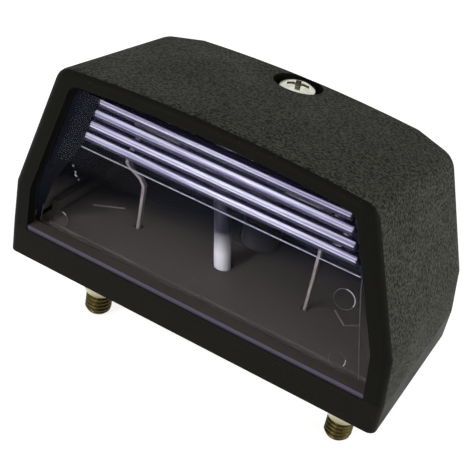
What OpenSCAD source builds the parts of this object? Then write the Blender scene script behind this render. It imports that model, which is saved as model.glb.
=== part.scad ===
// Number plate lamp: moulded base with two studs, textured hood, recessed ribbed lens
// The mounting face is z = 0, the window faces -Y and the studs point down

/* [Housing] */
// Width across the base plinth
body_w = 84; // [76:1:96]
// Depth of the base plinth, front to back
body_d = 42; // [39:1:50]
// Height of the base plinth
plinth_h = 6.5; // [5.5:0.5:9]
// Height of the bend that runs round the cover
bend_h = 17.4; // [14:0.2:20]
// Height of the top's side edges at the front
front_h = 46.4; // [43:0.2:54]
// How much lower the top is at the back
top_fall = 4.4; // [0:0.2:6]
// Rise of the top's crown in the middle
crown = 1.8; // [0.6:0.1:3]
// Inward lean of the sides below the bend, in degrees
side_lean_low = 5.2; // [2:0.2:8]
// Inward lean of the sides above the bend, in degrees
side_lean_high = 18.3; // [12:0.1:20]
// Forward lean of the front, in degrees
front_lean = 5.1; // [0:0.1:8]
// Forward lean of the back below the bend, in degrees
back_lean_low = 12; // [4:0.5:15]
// Forward lean of the back above the bend, in degrees
back_lean_high = 7; // [2:0.5:9]
// Radius of the upright corners at the back
back_r = 5; // [3:0.5:6]
// Radius of the cover's front edges
front_r = 1.6; // [1:0.1:2.4]
// Radius where the sides meet the top at the front
shoulder_r = 3.8; // [2.6:0.1:5]
// Wall of the cover
wall = 1.8; // [1.6:0.1:2.4]

/* [Front rim] */
// Width of the rim's uprights
rim_w = 3.9; // [3.2:0.1:5]
// Height of the rim's top rail
rail_h = 2.7; // [2.5:0.1:4]
// Thickness of the rim, front to back
rim_t = 2.2; // [1.8:0.1:3]
// Radius of the opening's upper corners
opening_r = 2.4; // [1.5:0.1:4]

/* [Lens] */
// Wall of the lens
lens_t = 2; // [1.6:0.1:2.6]
// Thickness of the seal between the rim and the lens
gasket_t = 0.6; // [0.4:0.1:1]
// Distance of the lens's upper edge under the opening's top
lens_drop = 1.6; // [1:0.1:2]
// Distance of the crease across the lens under the opening's top
crease_drop = 15.9; // [14:0.1:19]
// Depth of the lens behind the front at the crease and above
crease_recess = 6.4; // [5:0.1:8]
// Height of the clear bar along the foot of the lens
foot_bar_h = 1.2; // [0.6:0.1:2]
// Number of ribs above the crease
rib_count = 5; // [3:1:5]
// Height of the lowest rib above the crease
rib_start = 3.1; // [2.6:0.1:3.6]
// Height from one rib to the next
rib_pitch = 2.85; // [2.6:0.05:2.9]
// Radius of a rib
rib_r = 1.2; // [0.9:0.05:1.25]
// How far a rib stands out of the lens
rib_out = 0.95; // [0.6:0.05:1.1]
// Depth of the groove that holds the foot of the lens
groove_d = 1; // [0.6:0.1:1.4]

/* [Studs] */
// Distance of a stud from the end of the base
stud_inset = 11; // [10.5:0.5:14]
// Place of the studs, front to back
stud_y = -2; // [-4:0.5:2]
// Diameter of a stud
stud_d = 6; // [5:0.5:8]
// Length of a stud under its head
stud_len = 24; // [20:1:35]
// Width across the flats of a stud's head
stud_flats = 10; // [8:0.5:12]
// Height of a stud's head
stud_head_h = 4; // [3:0.2:5]
// How far the plain neck of a stud reaches below the base
neck_out = 1; // [0.5:0.1:2]

/* [Cover screw] */
// Place of the cover screw, front to back
screw_y = 10; // [7:0.1:10.2]
// Diameter of the cover screw
screw_d = 4; // [3:0.5:4.5]
// Diameter of the cover screw's head
screw_head_d = 7.2; // [6:0.2:8.4]
// Height of the cover screw's head
screw_head_h = 2.3; // [2:0.1:3.2]
// Diameter of the sunk seat for the head
seat_d = 10.1; // [9.4:0.1:10.4]
// Wall of the cover round that seat
seat_wall = 1.2; // [1:0.1:2]
// Thickness of the cover under that seat
seat_floor = 3; // [2:0.2:4]
// How far the head's crown lies below the top
head_sink = 0.1; // [0:0.1:2]
// Thickness of the seal under the head
screw_seal_t = 0.6; // [0.4:0.1:1]
// Height of the base's boss for the cover screw, above the base
boss_h = 7; // [5:0.5:12]
// Depth of the threaded insert in that boss
insert_h = 9; // [6:0.5:11]
// Wall of the screw's tube and boss
tube_t = 2.1; // [1.5:0.1:2.6]

/* [Lamp gear] */
// Distance of the bulb's centre line under the top's side edges
bulb_drop = 13.4; // [12.5:0.1:16]
// Place of the bulb and its contacts, front to back
bulb_y = -4.6; // [-8:0.1:-3]
// Offset of the bulb and its contacts to the side
gear_x = -1.8; // [-2.5:0.1:2]
// Diameter of the bulb's glass
glass_d = 11; // [9:0.5:11.5]
// Length of the bulb's glass between its caps
glass_len = 26; // [20:0.5:28]
// Length of the bulb from tip to tip
bulb_len = 43; // [39:0.5:44]
// Diameter of the bulb's caps
cap_d = 7.4; // [6.8:0.2:8.4]
// Diameter of the flat at the caps' pointed ends
tip_d = 1.8; // [1:0.2:2.4]
// Distance between the feet of the two contacts
contact_pitch = 39.8; // [36:0.2:42]
// Distance of the left contact's bend under the bulb's centre line
bend_left_drop = 15.4; // [10:0.2:18]
// Distance of the right contact's bend under the bulb's centre line
bend_right_drop = 11; // [10:0.2:18]
// How far a contact bows outwards
bow_out = 4.4; // [2.4:0.2:6]
// Thickness of a contact
contact_t = 0.7; // [0.5:0.1:1.2]
// Width of a contact, front to back
contact_w = 1; // [0.8:0.1:3]
// Diameter of the peg under the bulb
peg_d = 3.5; // [3:0.1:5]
// Lean of the peg to the left, in degrees
peg_lean_side = 7; // [0:0.5:9]
// Lean of the peg to the front, in degrees
peg_lean_front = 6; // [0:0.5:7]

/* [Base] */
// Thickness of the base's floor
floor_t = 2.9; // [2.4:0.1:3.6]
// Wall of the base's skirt
skirt_t = 2.4; // [1.8:0.1:3]
// Distance of the locating lip behind the front
lip_start = 10; // [8:0.5:16]
// Height of the lip that locates the cover
lip_h = 2.4; // [1.5:0.1:3]
// Thickness of that lip
lip_t = 1.6; // [1.2:0.1:2]
// Thickness of the grey plate on the floor
plate_t = 0.8; // [0.5:0.1:1.2]
// Gap between that plate and the lip at its back
plate_back_gap = 4.3; // [1:0.1:8]
// Gap between that plate and the lip at its sides
plate_side_gap = 1.2; // [0.4:0.1:3]
// Thickness of the ribs under the floor
rib_t = 1.6; // [1.2:0.1:2.2]
// Width of the notch for the wires
notch_w = 7; // [5:0.5:9]
// Diameter of a wire's hole in the grommet
wire_d = 1.9; // [1.4:0.1:2.1]

/* [Hidden] */
$fn = 64;
half_d = body_d / 2;
stud_pitch = body_w - 2 * stud_inset;
fit = 0.15;            // running clearance round what drops into a recess
lip_fit = 0.9;         // room between the lip and the cover's leaning wall
lens_fit = 0.4;        // room between the lens flange and the cover's wall
thin = 0.01;           // height of the slices that a form is stretched over
floor_z = plinth_h - floor_t;
gasket_y = rim_t;                       // depths are measured back from the front plane
flange_y = rim_t + gasket_t;
top_half = half_w(front_h);
crown_half = round(top_half - 2 * shoulder_r);  // half the length of the crowned edges
crown_r = pow(top_half, 2) / (2 * crown) + crown / 2;
crown_z = front_h + crown - crown_r;
back_top_h = front_h - top_fall;
back_top_y = back_y(back_top_h);
front_top_y = front_y(front_h);
roof_corner = 9;       // height over which the hollow's back corners close
opening_top = front_h - rail_h;
lens_top = opening_top - lens_drop;
crease_h = opening_top - crease_drop;
bulb_z = front_h - bulb_drop;
seat_z = top_z(0, screw_y) - head_sink - screw_head_h - screw_seal_t;
tube_r = screw_d / 2 + 0.2 + tube_t;
boss_top = plinth_h + boss_h;
stud_head_z = plinth_h - stud_head_h;
stud_neck_d = stud_d + 0.4;
peg_x = gear_x + 0.3;
peg_y = bulb_y + 0.9;
notch_x = 9;
rib_x = notch_x + notch_w / 2 + 3.5;    // place of the two short ribs
rib_start_y = 4;                        // and their front end
notch_h = 3.4;
contact_x = contact_pitch / 2;          // from the middle of the lamp gear
eye_x = bulb_len / 2 + 0.3;             // inner face of a contact's eye
eye_d = 6.4;
slot_gap = 0.8;                         // the plate's slots are wider than what rises through them
neck_d = 6.2;                           // neck of the bulb's glass, inside a cap
filament_r = 0.35;
coil_r = 0.8;
coil_pitch = 0.9;
tab_t = 0.7;
tab_len = 8.6;
tab_w = 5.6;
terminal_x = contact_x - tab_len + tab_w / 2;
terminal_d = 3;
washer_t = 0.6;
terminal_head_h = 1.6;

// Half the cover's width at a height
function half_w(z) = z < bend_h
    ? body_w / 2 - (z - plinth_h) * tan(side_lean_low)
    : body_w / 2 - (bend_h - plinth_h) * tan(side_lean_low) - (z - bend_h) * tan(side_lean_high);

// The cover's front plane and its back at a height
function front_y(z) = -half_d - (z - plinth_h) * tan(front_lean);
function back_y(z) = z < bend_h
    ? half_d - (z - plinth_h) * tan(back_lean_low)
    : half_d - (bend_h - plinth_h) * tan(back_lean_low) - (z - bend_h) * tan(back_lean_high);

// The top's surface: a crown across, falling towards the back
function top_z(x, y) = crown_z + sqrt(pow(crown_r, 2) - x * x)
    - top_fall * (y - front_top_y) / (back_top_y - front_top_y);

// Where the crowned top meets the side plane, both inset by a wall and lowered by a fall
function arc_z(x, inset, fall) = crown_z + sqrt(pow(crown_r - inset, 2) - x * x) - fall;
function edge_z(inset, fall) = arc_z(half_w(arc_z(top_half - inset, inset, fall)) - inset, inset, fall);
function edge_x(inset, fall) = half_w(edge_z(inset, fall)) - inset;

// Half the width of the front opening, and of the lens's window
function opening_half(z) = half_w(z) - rim_w;
function lens_depth(z) = z > crease_h ? crease_recess
    : flange_y + (crease_recess - flange_y) * (z - plinth_h) / (crease_h - plinth_h);
function window_half(z) = opening_half(z) - (lens_depth(z) - flange_y);

// Outline of the plinth seen from above, drawn inset by a given amount
module plan(inset = 0) {
    w = body_w / 2 - inset;
    d = half_d - inset;
    rf = max(front_r - inset, 0.4);
    rb = max(back_r - inset, 0.4);
    polygon([[-w + rf, -d], [w - rf, -d], [w, -d + rf], [w, d - rb],
        [w - rb, d], [-w + rb, d], [-w, d - rb], [-w, -d + rf]]);
    for (s = [-1, 1]) {
        translate([s * (w - rf), -d + rf]) circle(rf);
        translate([s * (w - rb), d - rb]) circle(rb);
    }
}

// One level slice of the cover's form
module slice(z, rf, rb) {
    for (s = [-1, 1]) {
        translate([s * (half_w(z) - rf), front_y(z) + rf, z]) cylinder(r = rf, h = thin);
        translate([s * (half_w(z) - rb), back_y(z) - rb, z]) cylinder(r = rb, h = thin);
    }
}

// Outer form of the cover, from the seam to the crowned top
module outer_form() {
    side_n = [cos(side_lean_high), sin(side_lean_high)];
    tilt = asin(top_half / crown_r);
    top_n = [sin(tilt), cos(tilt)];
    inward = (side_n + top_n) / (1 + side_n * top_n);
    edge_r = 1.4;
    hull() {
        slice(plinth_h, front_r, back_r, $fn = 48);
        slice(bend_h, front_r, back_r, $fn = 48);
        for (s = [-1, 1]) {
            // rounded shoulder at the front
            c = [top_half, front_h] - shoulder_r * inward;
            for (a = [side_lean_high : (90 - tilt - side_lean_high) / 4 : 90 - tilt]) {
                x = c[0] + (shoulder_r - front_r) * cos(a);
                z = c[1] + (shoulder_r - front_r) * sin(a);
                translate([s * x, front_y(z) + front_r, z]) sphere(front_r, $fn = 24);
            }
            // rounded corner at the back
            b = [edge_x(0, top_fall), edge_z(0, top_fall)] - back_r * inward;
            translate([s * b[0], back_y(b[1]) - back_r, b[1]]) sphere(back_r, $fn = 48);
        }
        // the crown along the front and back edges
        for (x = [-crown_half : crown_half / 4 : crown_half]) {
            zf = top_z(x, front_top_y) - front_r;
            translate([x, front_y(zf) + front_r, zf]) sphere(front_r, $fn = 24);
            zb = top_z(x, back_top_y) - edge_r;
            translate([x, back_y(zb) - edge_r, zb]) sphere(edge_r, $fn = 24);
        }
    }
}

// Hollow of the cover, open below
module cavity() {
    rb = back_r - wall;
    hull() {
        for (z = [plinth_h - 3, plinth_h, bend_h, back_top_h - roof_corner])
            for (s = [-1, 1]) {
                translate([s * (half_w(z) - wall - 0.3), front_y(z) + rim_t + 0.3, z])
                    cylinder(r = 0.3, h = thin, $fn = 16);
                translate([s * (half_w(z) - wall - rb), back_y(z) - wall - rb, z])
                    cylinder(r = rb, h = thin, $fn = 32);
            }
        // the roof, parallel to the crowned top
        for (x = [-1 : 0.2 : 1]) {
            xf = x * edge_x(wall, 0);
            zf = arc_z(xf, wall, 0);
            translate([xf, front_y(zf) + rim_t, zf]) cube(thin, center = true);
            xb = x * edge_x(wall + 1, top_fall);
            zb = arc_z(xb, wall, top_fall);
            translate([xb, back_y(zb) - wall, zb]) cube(thin, center = true);
        }
    }
}

// Front view of the cover, inset at its sides and under its top
module front_outline(inset, top_inset, corner = 0) {
    tilt = asin(top_half / crown_r);
    n_side = [cos(side_lean_high), sin(side_lean_high)];
    n_top = [sin(tilt), cos(tilt)];
    inward = (n_side + n_top) / (1 + n_side * n_top);
    low = plinth_h - 2;
    kz = arc_z(half_w(front_h - top_inset) - inset, top_inset, 0);
    c = [half_w(kz) - inset, kz] - corner * inward;
    a = c + corner * n_side;
    b = c + corner * n_top;
    intersection() {
        polygon([[-half_w(plinth_h) + inset, low], [half_w(plinth_h) - inset, low],
            [half_w(plinth_h) - inset, plinth_h], [half_w(bend_h) - inset, bend_h],
            a, b, [0, b[1] + b[0] * tan(tilt) + 0.2], [-b[0], b[1]], [-a[0], a[1]],
            [-half_w(bend_h) + inset, bend_h], [-half_w(plinth_h) + inset, plinth_h]]);
        translate([0, crown_z]) circle(crown_r - top_inset, $fn = 256);
    }
    if (corner > 0)
        for (s = [-1, 1])
            translate([s * c[0], c[1]]) circle(corner - 0.02);
}

// Front view of the opening between the uprights and under the top rail
module opening_outline(grow = 0) {
    front_outline(rim_w - grow, rail_h - grow, opening_r);
}

// Stands a front-view outline up, reaching back from a given place
module from_front(y, depth) {
    translate([0, y + depth, 0]) rotate([90, 0, 0]) linear_extrude(depth) children();
}

module cover() {
    color([0.16, 0.17, 0.16])
    difference() {
        union() {
            difference() {
                outer_form();
                cavity();
            }
            // tube for the cover screw, with a wider head seat
            intersection() {
                union() {
                    translate([0, screw_y, boss_top + 0.3]) cylinder(r = tube_r, h = seat_z - boss_top);
                    translate([0, screw_y, seat_z - seat_floor])
                        cylinder(d = seat_d + 2 * seat_wall, h = front_h);
                }
                outer_form();
            }
        }
        // through the rim only, in front of the falling roof
        from_front(front_top_y - 1, rim_t + 1.2 - half_d - front_top_y) opening_outline();
        translate([0, screw_y, seat_z]) cylinder(d = seat_d, h = front_h);
        translate([0, screw_y, boss_top]) cylinder(d = screw_d + 0.4, h = seat_z);
    }
}

// A slab as wide as the cover's hollow, parallel to the front plane and a given depth behind it
module front_slab(depth, thickness) {
    intersection() {
        rotate([90, 0, 90]) translate([0, 0, -body_w]) linear_extrude(2 * body_w)
            polygon([[front_y(plinth_h) + depth, plinth_h],
                [front_y(plinth_h) + depth + thickness, plinth_h],
                [front_y(2 * front_h) + depth + thickness, 2 * front_h],
                [front_y(2 * front_h) + depth, 2 * front_h]]);
        from_front(-2 * half_d, 2 * half_d) front_outline(wall + lens_fit, wall + lens_fit);
    }
}

// The tray that the lens makes behind the rim, grown by a wall
module tray(grow) {
    hull() {
        for (z = [plinth_h - groove_d, bend_h, crease_h, lens_top])
            for (s = [-1, 1]) {
                zz = z == lens_top ? z + grow : z;
                open = opening_half(max(z, plinth_h)) + grow;
                back = window_half(max(z, plinth_h)) + grow;
                translate([s * open, front_y(z) + flange_y + thin, zz]) cube(thin, center = true);
                translate([s * back, front_y(z) + lens_depth(max(z, plinth_h)) + grow, zz])
                    cube(thin, center = true);
            }
    }
}

// One rounded rib across the lens, with rounded ends
module lens_rib(z) {
    x = window_half(z) - rib_r + 0.6;
    translate([0, front_y(z) + crease_recess - rib_out + rib_r, z]) {
        rotate([0, 90, 0]) cylinder(r = rib_r, h = 2 * x, center = true);
        for (s = [-1, 1])
            translate([s * x, 0, 0]) sphere(rib_r);
    }
}

module lens() {
    bar_half = opening_half(plinth_h) - fit;
    color([0.55, 0.55, 0.8, 0.5])
    union() {
        difference() {
            union() {
                front_slab(flange_y, 1.6);
                // kept inside the cover's hollow
                intersection() {
                    tray(lens_t);
                    from_front(-2 * half_d, 2 * half_d)
                        front_outline(wall + lens_fit, wall + lens_fit);
                }
                translate([0, 0, -groove_d]) foot_bar(opening_half(plinth_h) + lens_t, 0, lens_t);
            }
            tray(0);
        }
        // clear bar between the uprights at the seam
        foot_bar(bar_half, 0.2 - flange_y, flange_y - 0.2);
        for (i = [0 : rib_count - 1])
            lens_rib(crease_h + rib_start + i * rib_pitch);
    }
}

// A bar along the foot of the lens
module foot_bar(half, y, depth) {
    translate([-half, -half_d + flange_y + y, plinth_h]) cube([2 * half, depth, foot_bar_h]);
}

module lens_gasket() {
    color([0.08, 0.08, 0.08])
    difference() {
        front_slab(gasket_y, gasket_t);
        from_front(front_top_y - 3, half_d) opening_outline(0.2);
    }
}

module base() {
    color([0.1, 0.1, 0.1])
    difference() {
        union() {
            linear_extrude(plinth_h) plan();
            // lip inside the cover, open at the front for the lens
            translate([0, 0, plinth_h]) linear_extrude(lip_h) difference() {
                plan(wall + lip_fit);
                plan(wall + lip_fit + lip_t);
                translate([-body_w, -half_d]) square([2 * body_w, lip_start]);
            }
            translate([0, screw_y, plinth_h]) cylinder(r = tube_r, h = boss_h);
        }
        // hollow underside with its bosses and ribs left standing
        translate([0, 0, -1]) linear_extrude(floor_z + 1) difference() {
            plan(skirt_t);
            for (s = [-1, 1])
                translate([s * stud_pitch / 2, stud_y]) circle(d = stud_flats + 5);
            translate([0, screw_y]) circle(r = tube_r + 0.4);
            underside_ribs();
        }
        // groove for the foot of the lens
        groove_half = opening_half(plinth_h) + lens_t + fit;
        translate([-groove_half, -half_d + flange_y - fit, plinth_h - groove_d - fit])
            cube([2 * groove_half, lens_t + 3 * fit, groove_d + 1]);
        for (s = [-1, 1]) {
            // hole and hexagon pocket for a stud
            translate([s * stud_pitch / 2, stud_y, -1])
                cylinder(d = stud_neck_d + 2 * fit, h = plinth_h + 2);
            translate([s * stud_pitch / 2, stud_y, stud_head_z])
                cylinder(d = (stud_flats + 2 * fit) / cos(30), h = stud_head_h + 1, $fn = 6);
            // slot for a contact and blind hole for its screw
            translate([gear_x + s * contact_x, bulb_y, plinth_h / 2])
                cube([contact_t + 2 * fit, contact_w + 2 * fit, plinth_h + 2], center = true);
            translate([gear_x + s * terminal_x, bulb_y, floor_z - 1])
                cylinder(d = terminal_d + 0.2, h = 3.2);
            // room for the contact's tab
            translate([gear_x + s * (contact_x + (contact_t - tab_len) / 2), bulb_y, floor_z / 2 - 1])
                cube([tab_len + 2 * fit, tab_w + 2 * fit, floor_z + 2], center = true);
        }
        translate([peg_x, peg_y, floor_z - 1]) cylinder(d = 2.4, h = floor_t + 2);
        // seat for the threaded insert
        translate([0, screw_y, boss_top - insert_h]) cylinder(d = screw_d + 1.8, h = insert_h + 1);
        // notch at the back for the wires
        translate([notch_x - notch_w / 2, half_d - skirt_t - 1, -1])
            cube([notch_w, skirt_t + 2, notch_h + 1]);
    }
}

// Grey plate on the floor, over the heads of the studs
module floor_plate() {
    front = -half_d + flange_y + lens_t + 4 * fit;
    back = half_d - wall - lip_fit - lip_t - plate_back_gap;
    half = body_w / 2 - wall - lip_fit - lip_t - plate_side_gap;
    color([0.36, 0.35, 0.33])
    translate([0, 0, plinth_h]) linear_extrude(plate_t) difference() {
        translate([-half, front]) square([2 * half, back - front]);
        translate([0, screw_y]) circle(tube_r + 2 * fit);
        translate([-tube_r - 2 * fit, screw_y]) square([2 * tube_r + 4 * fit, half_d]);
        translate([peg_x, peg_y]) circle(d = peg_d + slot_gap);
        for (s = [-1, 1])
            translate([gear_x + s * contact_x, bulb_y])
                square([contact_t + slot_gap, contact_w + slot_gap], center = true);
    }
}

// Ribs under the floor, seen from above
module underside_ribs() {
    for (s = [-1, 1]) {
        translate([s * rib_x - rib_t / 2, rib_start_y]) square([rib_t, half_d]);
        translate([s * stud_pitch / 2 - rib_t / 2, -half_d]) square([rib_t, body_d]);
    }
    translate([-rib_t / 2, -half_d]) square([rib_t, body_d]);
}

// Rubber block in the notch, with two holes for wires and a flange inside
module cable_grommet() {
    color([0.06, 0.06, 0.06])
    translate([notch_x, half_d, 0])
    difference() {
        union() {
            translate([-notch_w / 2 + 0.05, -skirt_t, 0.1])
                cube([notch_w - 0.1, skirt_t, notch_h - 0.15]);
            translate([-notch_w / 2 - 1, -skirt_t - 1, 0.1])
                cube([notch_w + 2, 1, notch_h - 0.15]);
        }
        for (s = [-1, 1])
            translate([s * notch_w / 4, 1, notch_h / 2]) rotate([90, 0, 0])
                cylinder(d = wire_d, h = skirt_t + 3);
    }
}

// Cross recess for a driver, pointing down from a head's crown
module cross_recess(size, depth) {
    for (a = [0, 90])
        rotate([0, 0, a]) translate([0, 0, -depth / 2 + 0.5])
            cube([size, size * 0.24, depth + 1], center = true);
    translate([0, 0, -depth]) cylinder(r1 = size * 0.16, r2 = size * 0.26, h = depth + 1);
}

module cover_screw() {
    r = screw_head_d / 2;
    crown_h = screw_head_h * 0.42;
    ball_r = (r * r + crown_h * crown_h) / (2 * crown_h);
    head_z = seat_z + screw_seal_t;
    color([0.82, 0.82, 0.78])
    translate([0, screw_y, head_z])
    difference() {
        union() {
            // domed pan head and its shank
            intersection() {
                cylinder(r = r, h = screw_head_h);
                translate([0, 0, screw_head_h - ball_r]) sphere(ball_r, $fn = 96);
            }
            translate([0, 0, boss_top - insert_h + 0.5 - head_z])
                cylinder(d = screw_d, h = head_z - boss_top + insert_h);
        }
        translate([0, 0, screw_head_h]) rotate([0, 0, 22]) cross_recess(4.4, 1.7);
    }
}

module screw_seal() {
    color([0.06, 0.06, 0.06])
    translate([0, screw_y, seat_z])
    difference() {
        cylinder(d = screw_head_d + 0.4, h = screw_seal_t);
        translate([0, 0, -1]) cylinder(d = screw_d + 0.1, h = screw_seal_t + 2);
    }
}

module screw_insert() {
    color([0.72, 0.58, 0.28])
    translate([0, screw_y, boss_top - insert_h])
    difference() {
        cylinder(d = screw_d + 1.8, h = insert_h);
        translate([0, 0, -1]) cylinder(d = screw_d, h = insert_h + 2);
    }
}

// Hexagon bolt whose head lies in its pocket in the base, with a plain neck through the hole
module stud(side) {
    tip = 0.9;
    crown_d = stud_flats - 0.4;
    crown_slope = 1.2;
    color([0.55, 0.5, 0.25])
    translate([side * stud_pitch / 2, stud_y, stud_head_z]) {
        intersection() {
            cylinder(d = stud_flats / cos(30), h = stud_head_h, $fn = 6);
            // chamfered crown of the head
            cylinder(r1 = crown_d / 2 + crown_slope * stud_head_h, r2 = crown_d / 2, h = stud_head_h);
        }
        translate([0, 0, -stud_head_z - neck_out])
            cylinder(d = stud_neck_d, h = stud_head_z + neck_out + 1);
        translate([0, 0, -stud_len + tip]) cylinder(d = stud_d, h = stud_len - tip + 1);
        translate([0, 0, -stud_len]) cylinder(d1 = stud_d - 1.5, d2 = stud_d, h = tip);
    }
}

module stud_left() { stud(-1); }
module stud_right() { stud(1); }

// One corner of a bent strip's outline, a given distance to the side of its path
function turned(path, i, side) = let (
    last = len(path) - 1,
    before = path[max(i, 1)] - path[max(i, 1) - 1],
    after = path[min(i, last - 1) + 1] - path[min(i, last - 1)],
    along = before / norm(before) + after / norm(after)
) path[i] + 2 * side * [-along[1], along[0]] / (along * along);

// Side view of a strip of even thickness that is bent along a path
module bent_strip(path, thickness) {
    last = len(path) - 1;
    polygon(concat([for (i = [0 : last]) turned(path, i, thickness / 2)],
        [for (i = [last : -1 : 0]) turned(path, i, -thickness / 2)]));
}

// Spring contact: tab under the floor, leg through its slot, outward bow, eye for the bulb's tip
module contact(side, bend_drop) {
    eye = eye_x + contact_t / 2;
    bow = contact_x + bow_out;
    bend_z = bulb_z - bend_drop;
    slant = bow_out * 0.7;
    path = [[contact_x, floor_z - tab_t], [contact_x, bend_z],
        [contact_x + 0.25 * bow_out, bend_z + 0.45 * slant],
        [bow - 0.25 * bow_out, bend_z + 0.85 * slant], [bow, bend_z + 1.3 * slant],
        [bow, bend_z + 1.3 * slant + 1.2], [eye, bulb_z - eye_d / 2 + 0.6], [eye, bulb_z]];
    color([0.8, 0.72, 0.55])
    translate([gear_x, bulb_y, 0]) mirror([side < 0 ? 1 : 0, 0, 0])
    difference() {
        union() {
            translate([contact_x + contact_t / 2 - tab_len, -tab_w / 2, floor_z - tab_t])
                cube([tab_len, tab_w, tab_t]);
            // the bent strip, drawn from the front
            translate([0, contact_w / 2, 0]) rotate([90, 0, 0]) linear_extrude(contact_w)
                bent_strip(path, contact_t);
            translate([eye_x, 0, bulb_z]) rotate([0, 90, 0]) cylinder(d = eye_d, h = contact_t);
        }
        translate([eye_x - 1, 0, bulb_z]) rotate([0, 90, 0]) cylinder(d = 2.6, h = contact_t + 2);
        translate([terminal_x, 0, 0]) cylinder(d = terminal_d + 0.2, h = floor_z + 1);
    }
}

module contact_left() { contact(-1, bend_left_drop); }
module contact_right() { contact(1, bend_right_drop); }

module terminal_screw(side) {
    under = floor_z - tab_t - washer_t;
    color([0.8, 0.66, 0.3])
    translate([gear_x + side * terminal_x, bulb_y, under])
    difference() {
        union() {
            translate([0, 0, -terminal_head_h]) cylinder(d = 5.4, h = terminal_head_h);
            cylinder(d = terminal_d, h = tab_t + washer_t + 1.8);
        }
        translate([0, 0, -terminal_head_h]) cube([6, 0.8, 1.4], center = true);
    }
}

module terminal_screw_left() { terminal_screw(-1); }
module terminal_screw_right() { terminal_screw(1); }

module terminal_washer(side) {
    color([0.75, 0.75, 0.72])
    translate([gear_x + side * terminal_x, bulb_y, floor_z - tab_t - washer_t])
    difference() {
        cylinder(d = 6.2, h = washer_t);
        translate([0, 0, -1]) cylinder(d = terminal_d + 0.2, h = 3);
    }
}

module terminal_washer_left() { terminal_washer(-1); }
module terminal_washer_right() { terminal_washer(1); }

// Hollow glass tube with its ends drawn in to the caps
module bulb_glass() {
    r = glass_d / 2;
    neck_r = neck_d / 2;
    glass_t = 0.6;
    color([0.9, 0.95, 1, 0.4])
    translate([gear_x, bulb_y, bulb_z]) rotate([0, 90, 0])
    rotate_extrude()
        difference() {
            glass_profile(r, neck_r, glass_len / 2);
            glass_profile(r - glass_t, neck_r - glass_t, glass_len / 2 + 0.1);
        }
}

// Half outline of the glass: straight in the middle, round shoulders, short necks
module glass_profile(r, neck, end) {
    bend = r - neck;
    mid = glass_len / 2 - bend - 1.6;
    translate([0, -end]) square([neck, 2 * end]);
    translate([0, -mid]) square([r, 2 * mid]);
    intersection() {
        for (s = [-1, 1])
            translate([neck, s * mid]) circle(bend);
        translate([0, -end]) square([r, 2 * end]);
    }
}

module bulb_cap(side) {
    inner = glass_len / 2 - 1.4;
    body_end = bulb_len / 2 - 2.6;
    color([0.78, 0.78, 0.75])
    translate([gear_x, bulb_y, bulb_z]) mirror([side < 0 ? 1 : 0, 0, 0]) rotate([0, 90, 0])
    difference() {
        union() {
            translate([0, 0, inner]) cylinder(d = cap_d, h = body_end - inner);
            // pointed end that sits in the contact's eye
            translate([0, 0, body_end])
                cylinder(d1 = cap_d, d2 = tip_d, h = bulb_len / 2 - body_end + 0.6);
        }
        translate([0, 0, inner - 1]) cylinder(d = neck_d + 0.1, h = glass_len / 2 - inner + 1.1);
    }
}

module bulb_cap_left() { bulb_cap(-1); }
module bulb_cap_right() { bulb_cap(1); }

// Filament and its support wires as one bent wire between the caps
module bulb_filament() {
    reach = glass_len / 2 + 0.1;
    color([0.6, 0.6, 0.6])
    translate([gear_x, bulb_y, bulb_z]) rotate([0, 90, 0]) {
        cylinder(r = filament_r, h = 2 * reach, center = true, $fn = 16);
        for (i = [-6 : 6])
            translate([0, 0, i * coil_pitch])
                cylinder(r = coil_r, h = coil_pitch / 2, center = true, $fn = 24);
    }
}

// Pale peg that leans from the floor to the underside of the glass
module bulb_peg() {
    r = peg_d / 2;
    reach = (bulb_z - glass_d / 2 - r - fit - plinth_h) / cos(peg_lean_side) / cos(peg_lean_front);
    color([0.92, 0.92, 0.9]) {
        translate([peg_x, peg_y, plinth_h - 1.5]) cylinder(d = 2.2, h = 3);
        difference() {
            translate([peg_x, peg_y, plinth_h]) rotate([peg_lean_front, -peg_lean_side, 0]) {
                translate([0, 0, -3]) cylinder(r = r, h = reach + 3);
                translate([0, 0, reach]) sphere(r);
            }
            // cut level with the floor
            translate([0, 0, plinth_h - body_w]) cube(2 * body_w, center = true);
        }
    }
}

base();
cover();
lens();
lens_gasket();
cover_screw();
screw_insert();
screw_seal();
stud_left();
stud_right();
floor_plate();
cable_grommet();
contact_left();
contact_right();
terminal_screw_left();
terminal_screw_right();
terminal_washer_left();
terminal_washer_right();
bulb_glass();
bulb_cap_left();
bulb_cap_right();
bulb_filament();
bulb_peg();
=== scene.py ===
import math

import bmesh
import bpy
from mathutils import Matrix, Vector
from mathutils.bvhtree import BVHTree


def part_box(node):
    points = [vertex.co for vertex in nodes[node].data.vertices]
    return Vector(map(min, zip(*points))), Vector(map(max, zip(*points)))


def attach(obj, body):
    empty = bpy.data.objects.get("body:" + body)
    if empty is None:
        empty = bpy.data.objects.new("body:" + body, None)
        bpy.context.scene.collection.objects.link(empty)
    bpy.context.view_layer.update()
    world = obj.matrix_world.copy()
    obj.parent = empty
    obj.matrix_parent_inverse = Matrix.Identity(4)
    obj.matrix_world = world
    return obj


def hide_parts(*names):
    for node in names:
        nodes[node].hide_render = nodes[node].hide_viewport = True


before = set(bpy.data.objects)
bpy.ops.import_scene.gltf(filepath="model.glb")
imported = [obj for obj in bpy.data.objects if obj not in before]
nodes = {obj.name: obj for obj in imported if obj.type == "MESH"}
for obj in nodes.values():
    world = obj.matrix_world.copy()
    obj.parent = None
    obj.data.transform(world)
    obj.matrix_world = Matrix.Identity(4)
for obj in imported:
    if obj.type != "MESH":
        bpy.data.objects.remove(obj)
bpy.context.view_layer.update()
scene = bpy.context.scene
mm = 0.001
print("frame loaded:", len(nodes), "nodes")


# shader helpers

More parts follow.
